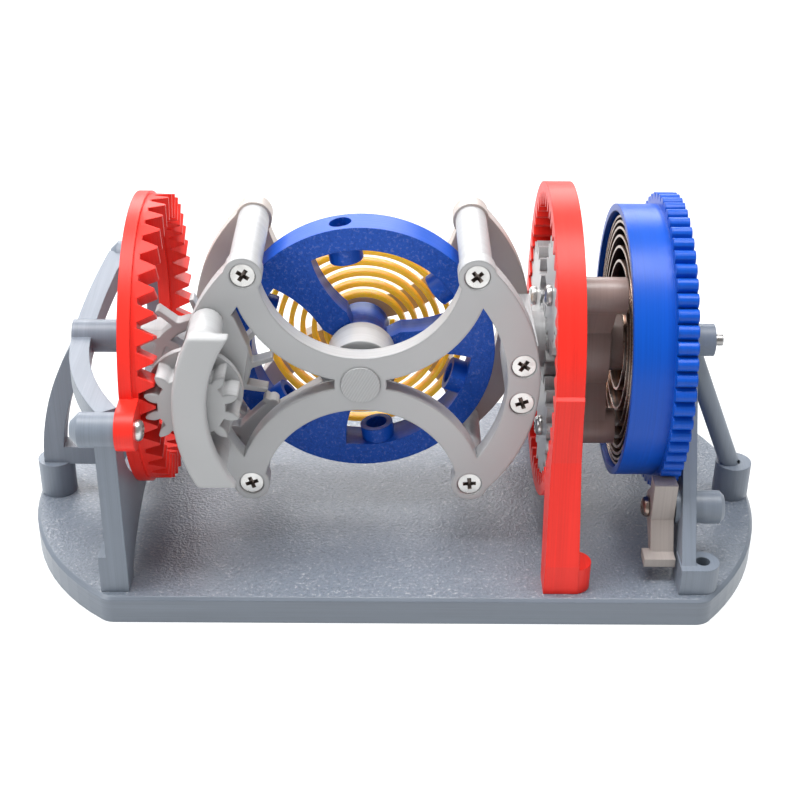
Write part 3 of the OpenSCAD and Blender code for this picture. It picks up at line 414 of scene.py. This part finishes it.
def add_hairspring():
    """Yellow printed spiral from the stud in to the balance collar."""
    outer, inner, pitch = 27 * MM, 8 * MM, 3 * MM
    start, thickness, corner, steps_per_turn = -105, 1.3 * MM, 0.3 * MM, 24
    low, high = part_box("hairspring")
    centre = Vector((BALANCE_AT.x, (low.y + high.y) / 2, BALANCE_AT.z))
    turns = math.floor((outer - inner) / pitch * steps_per_turn + 1e-6) / steps_per_turn
    centres = [(centre + p, out) for p, out in
               spiral(lambda t: outer - pitch * turns * t, turns, start, cage_plane)]
    name = "hairspring_strip"
    mesh = strip_mesh(name, centres, thickness, high.y - low.y, Vector((0, 1, 0)), corner)
    add_piece(name, mesh, "cage", [GLOWING_SPRING_YELLOW, GLOWING_SPRING_YELLOW], "hairspring")


def add_mainspring():
    """Steel strip in the barrel: close turns at the wall, open turns at the arbor."""
    inner, outer, turns, thickness, corner = 8.65 * MM, 32.75 * MM, 8, 0.7 * MM, 0.12 * MM
    even, crowded, power = 0.38, 0.62, 3
    low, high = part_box("mainspring")
    centre = Vector(((low.x + high.x) / 2, AXIS_AT.y, AXIS_AT.z))

    def radius_at(t):
        spread = even * t + crowded * (1 - (1 - t) ** power)
        return inner + (outer - inner) * spread

    centres = [(centre + p, out) for p, out in spiral(radius_at, turns, 0, axis_plane)]
    name = "mainspring_strip"
    mesh = strip_mesh(name, centres, thickness, high.x - low.x, Vector((1, 0, 0)), corner)
    add_piece(name, mesh, "barrel", [SPRING_FLAT, SPRING_EDGE], "mainspring")


def islands(mesh):
    """Boxes (lowest, highest corner) of the separate solids in a mesh."""
    bm = bmesh.new()
    bm.from_mesh(mesh)
    bmesh.ops.remove_doubles(bm, verts=bm.verts, dist=0.001 * MM)
    left = set(bm.verts)
    boxes = []
    while left:
        group, queue = set(), [left.pop()]
        while queue:
            vert = queue.pop()
            group.add(vert)
            near = {edge.other_vert(vert) for edge in vert.link_edges} & left
            left -= near
            queue.extend(near)
        points = [v.co for v in group]
        boxes.append((Vector(map(min, zip(*points))), Vector(map(max, zip(*points)))))
    bm.free()
    return sorted(boxes, key=lambda box: tuple(round(v, 6) for v in box[0]))


def lathe(bm, profile, segments=40):
    """Closed solid of revolution about Z from (radius, height) points, ends on the axis."""
    rings = []
    for radius, height in profile:
        if radius < 1e-7:
            rings.append([bm.verts.new((0, 0, height))])
        else:
            rings.append([bm.verts.new((radius * math.cos(2 * math.pi * k / segments),
                                        radius * math.sin(2 * math.pi * k / segments), height))
                          for k in range(segments)])
    for a, b in zip(rings, rings[1:]):
        for k in range(segments):
            following = (k + 1) % segments
            corners = [a[k % len(a)], a[following % len(a)], b[following % len(b)], b[k % len(b)]]
            bm.faces.new(list(dict.fromkeys(corners)))


def cross_recess(bm, reach, width, depth):
    """Tapered cross, the cutter of a cross-head recess from z = 0 down."""
    foot_scale, mouth_scale, mouth_over = 0.45, 1.15, 0.3
    outline = []
    arm = [(reach, -width), (reach, width), (width, width)]
    for _ in range(4):
        outline += arm
        arm = [(-y, x) for x, y in arm]
    low, high = ([bm.verts.new((x * scale, y * scale, z)) for x, y in outline]
                 for z, scale in ((-depth, foot_scale), (depth * mouth_over, mouth_scale)))
    for i in range(len(outline)):
        j = (i + 1) % len(outline)
        bm.faces.new((low[i], low[j], high[j], high[i]))
    bm.faces.new(low[::-1])
    bm.faces.new(high)


def evaluated(body):
    """New mesh of an object with its modifiers applied."""
    graph = bpy.context.evaluated_depsgraph_get()
    return bpy.data.meshes.new_from_object(body.evaluated_get(graph))


def cut(mesh, cutter):
    """Mesh less cutter, as a new mesh."""
    body = bpy.data.objects.new("cut_body", mesh)
    tool = bpy.data.objects.new("cut_tool", cutter)
    for o in (body, tool):
        bpy.context.scene.collection.objects.link(o)
    change = body.modifiers.new("recess", "BOOLEAN")
    change.operation, change.solver, change.use_self = "DIFFERENCE", "EXACT", True
    change.object = tool
    result = evaluated(body)
    for o in (body, tool):
        bpy.data.objects.remove(o)
    return result


def softened(mesh, voxel, passes):
    """A mesh's own form with its edges rounded, as a new mesh."""
    body = bpy.data.objects.new("soft_body", mesh)
    bpy.context.scene.collection.objects.link(body)
    remesh = body.modifiers.new("remesh", "REMESH")
    remesh.mode, remesh.voxel_size = "VOXEL", voxel
    rounding = body.modifiers.new("rounding", "SMOOTH")
    rounding.factor, rounding.iterations = 0.5, passes
    result = evaluated(body)
    bpy.data.objects.remove(body)
    return result


def add_bridge():
    """The bridge over the pinion, with the printed one's soft edges and its blind arbor bore."""
    voxel, passes = 0.3 * MM, 36
    play, end_play, bore_length = 0.2 * MM, 0.3 * MM, 12 * MM
    low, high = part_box("escape_arbor")
    radius = (high.x - low.x) / 2 + play
    profile = [(0, 0), (radius, 0), (radius, bore_length), (0, bore_length)]
    bore = mesh_from("bore", lambda bm: lathe(bm, profile))
    foot = Vector(((low.x + high.x) / 2, low.y - end_play, (low.z + high.z) / 2))
    inwards = Vector((0, 1, 0)).to_track_quat("Z", "Y").to_matrix()
    bore.transform(Matrix.Translation(foot) @ inwards.to_4x4())
    mesh = cut(softened(NODES["escapement_bridge"].data, voxel, passes), bore)
    mesh.materials.clear()
    smooth(mesh)
    add_piece("escapement_bridge_soft", mesh, "cage", [CAGE_PALE], "escapement_bridge")


# Sizes of the screws. Those without a unit are shares of the head's radius
PAN_HEIGHT, PAN_SHANK, FLAT_SHANK = 0.68, 0.54, 1.45 * MM
RECESS_REACH, PAN_RECESS_WIDTH, FLAT_RECESS_WIDTH = 0.56, 0.16, 0.17
PAN_RECESS_DEPTH, FLAT_RECESS_DEPTH = 1.1 * MM, 1.2 * MM
# Degrees by which the recess of the first screw is turned, and each next one more
FIRST_TURN, TURN_STEP = 20, 37


def pan_screw(radius, height, shank, length):
    """Pan-head screw with its head's top at z = 0 and the shank down Z."""
    dome = [(0, 0), (0.35, 0.02), (0.6, 0.08), (0.8, 0.2), (0.93, 0.4), (1, 0.66), (0.985, 1)]
    profile = [(r * radius, -z * height) for r, z in dome]
    profile += [(shank, -height), (shank, -length), (0, -length)]
    head = mesh_from("screw_head", lambda bm: lathe(bm, profile))
    depth = min(0.62 * height, PAN_RECESS_DEPTH)
    cutter = mesh_from("screw_cutter", lambda bm: cross_recess(
        bm, RECESS_REACH * radius, PAN_RECESS_WIDTH * radius, depth))
    return cut(head, cutter)


def flat_screw(radius, shank, length):
    """Countersunk screw with its flat face at z = 0 and the shank down Z."""
    rim, soft = 0.4 * MM, 0.12 * MM
    profile = [(0, 0), (radius - soft, 0), (radius, -soft), (radius, -rim),
               (shank, -rim - radius + shank), (shank, -length), (0, -length)]
    head = mesh_from("screw_head", lambda bm: lathe(bm, profile))
    cutter = mesh_from("screw_cutter", lambda bm: cross_recess(
        bm, RECESS_REACH * radius, FLAT_RECESS_WIDTH * radius, FLAT_RECESS_DEPTH))
    return cut(head, cutter)


def paint_recess_shade(mesh, radius):
    """Gives the faces inside the cross recess of an upright screw the second material, the painted
    shade of the recess.
    """
    reach, floor, below_top, level = 0.66 * radius, -1.3 * MM, -0.45 * MM, 0.9
    for face in mesh.polygons:
        inside = face.center.xy.length < reach and floor < face.center.z
        sunk = face.normal.z < level or face.center.z < below_top
        face.material_index = 1 if inside and sunk else 0


def add_screws(node, head_side, body, materials, flat=False):
    """Cross-head screws in place of a node's screws, with their heads to head_side."""
    bm = bmesh.new()
    axis = max(range(3), key=lambda i: abs(head_side[i]))
    others = [i for i in range(3) if i != axis]
    basis = Vector(head_side).to_track_quat("Z", "Y").to_matrix()
    for number, (low, high) in enumerate(islands(NODES[node].data)):
        top = (low + high) / 2
        top[axis] = high[axis] if head_side[axis] > 0 else low[axis]
        radius = (high[others[0]] - low[others[0]]) / 2
        length = high[axis] - low[axis]
        if flat:
            screw = flat_screw(radius, FLAT_SHANK, length)
        else:
            screw = pan_screw(radius, PAN_HEIGHT * radius, PAN_SHANK * radius, length)
        paint_recess_shade(screw, radius)
        turn = Matrix.Rotation(math.radians(FIRST_TURN + TURN_STEP * number), 3, "Z")
        screw.transform(Matrix.Translation(top) @ (basis @ turn).to_4x4())
        bm.from_mesh(screw)
    mesh = bpy.data.meshes.new(node + "_detail")
    bm.to_mesh(mesh)
    bm.free()
    smooth(mesh, angle=40)
    add_piece(node + "_detail", mesh, body, materials, node)


# Each screw's second material is the painted shade inside its cross recess
BRIGHT_SCREW, DARK_SCREW = [BRIGHT_STEEL, RECESS_SHADE_STEEL], [DARK_STEEL, RECESS_SHADE_STEEL]

add_bridge()
add_hairspring()
add_mainspring()
add_screws("cage_screws", (0, -1, 0), "cage", BRIGHT_SCREW, flat=True)
add_screws("end_block_screws", (0, -1, 0), "cage", BRIGHT_SCREW, flat=True)
add_screws("crown_screws", (1, 0, 0), "stand", BRIGHT_SCREW)
add_screws("planet_screws", (-1, 0, 0), "carrier", BRIGHT_SCREW)
add_screws("pawl_screw", (-1, 0, 0), "stand", DARK_SCREW)


# Camera, light and floor

WORLD_STRENGTH = 0.32
FLOOR_HALF, FLOOR_Z = 40.0, -0.05 * MM
FLOOR_TONES = ((0.30, 0.30, 0.30), (0.33, 0.33, 0.33))
FLOOR_GLOW, FLOOR_GLOW_COLOUR = 0.8, (0.96, 0.985, 1, 1)
# Each softbox: name, place, target, size across and up, watts
SOFTBOXES = [
    ("top_light", (-0.1, 0.0, 1.0), (-0.1, 0, 0.03), (1.1, 0.42), 16.0),
    ("left_light", (-0.9, -0.35, 0.7), (0, 0, 0.03), (0.5, 0.5), 4.0),
    ("back_light", (-0.2, 1.0, 0.62), (0, 0, 0.05), (1.2, 0.5), 11.0),
]
PHOTO_SIZE = 800
FOCAL_PIXELS = 1500
PITCH, YAW, ROLL = (math.radians(a) for a in (29.96, 0.61, 0.68))
AIM_SHIFT = (1.0 * MM, 389.08 * MM, 16.14 * MM)


def add_camera():
    """Camera at the photograph's place: pitched down, with a little yaw and roll."""
    turn = Matrix.Rotation(-YAW, 3, "Z")
    ahead = turn @ Vector((0, math.cos(PITCH), -math.sin(PITCH)))
    up = turn @ Vector((0, math.sin(PITCH), math.cos(PITCH)))
    right = turn @ Vector((1, 0, 0))
    across, away, over = AIM_SHIFT
    place = Vector((0, 0, AXIS_AT.z)) + right * across - ahead * away - up * over
    tilted_right = right * math.cos(ROLL) + up * math.sin(ROLL)
    tilted_up = up * math.cos(ROLL) - right * math.sin(ROLL)
    data = bpy.data.cameras.new("photo_camera")
    data.sensor_width = 36.0
    data.lens = data.sensor_width * FOCAL_PIXELS / PHOTO_SIZE
    camera = bpy.data.objects.new("photo_camera", data)
    bpy.context.scene.collection.objects.link(camera)
    basis = Matrix((tilted_right, tilted_up, -ahead)).transposed()
    camera.matrix_world = Matrix.Translation(place) @ basis.to_4x4()
    bpy.context.scene.camera = camera


def add_softbox(name, place, target, size, power):
    """Rectangular area light, size across and up, aimed at a target."""
    data = bpy.data.lights.new(name, "AREA")
    data.shape, data.energy = "RECTANGLE", power
    data.size, data.size_y = size
    light = bpy.data.objects.new(name, data)
    light.location = place
    light.rotation_euler = (Vector(target) - Vector(place)).to_track_quat("-Z", "Y").to_euler()
    bpy.context.scene.collection.objects.link(light)


def add_floor():
    """Plain pale floor of the studio."""
    bm = bmesh.new()
    bmesh.ops.create_grid(bm, x_segments=1, y_segments=1, size=FLOOR_HALF)
    mesh = bpy.data.meshes.new("floor")
    bm.to_mesh(mesh)
    bm.free()
    floor = bpy.data.objects.new("floor", mesh)
    floor.location.z = FLOOR_Z
    bpy.context.scene.collection.objects.link(floor)
    s = Shader("floor_paint", 0.9, Emission_Color=FLOOR_GLOW_COLOUR, Emission_Strength=FLOOR_GLOW)
    mesh.materials.append(s.finish(s.mix(s.noise((3, 3, 3)), *FLOOR_TONES)))


def add_world(strength):
    """Even white light from all round."""
    world = bpy.data.worlds.new("studio")
    world.use_nodes = True
    background = world.node_tree.nodes["Background"]
    background.inputs["Color"].default_value = (1, 1, 1, 1)
    background.inputs["Strength"].default_value = strength
    bpy.context.scene.world = world


add_camera()
add_world(WORLD_STRENGTH)
add_floor()
for softbox in SOFTBOXES:
    add_softbox(*softbox)
bpy.context.scene.view_settings.view_transform = "Standard"
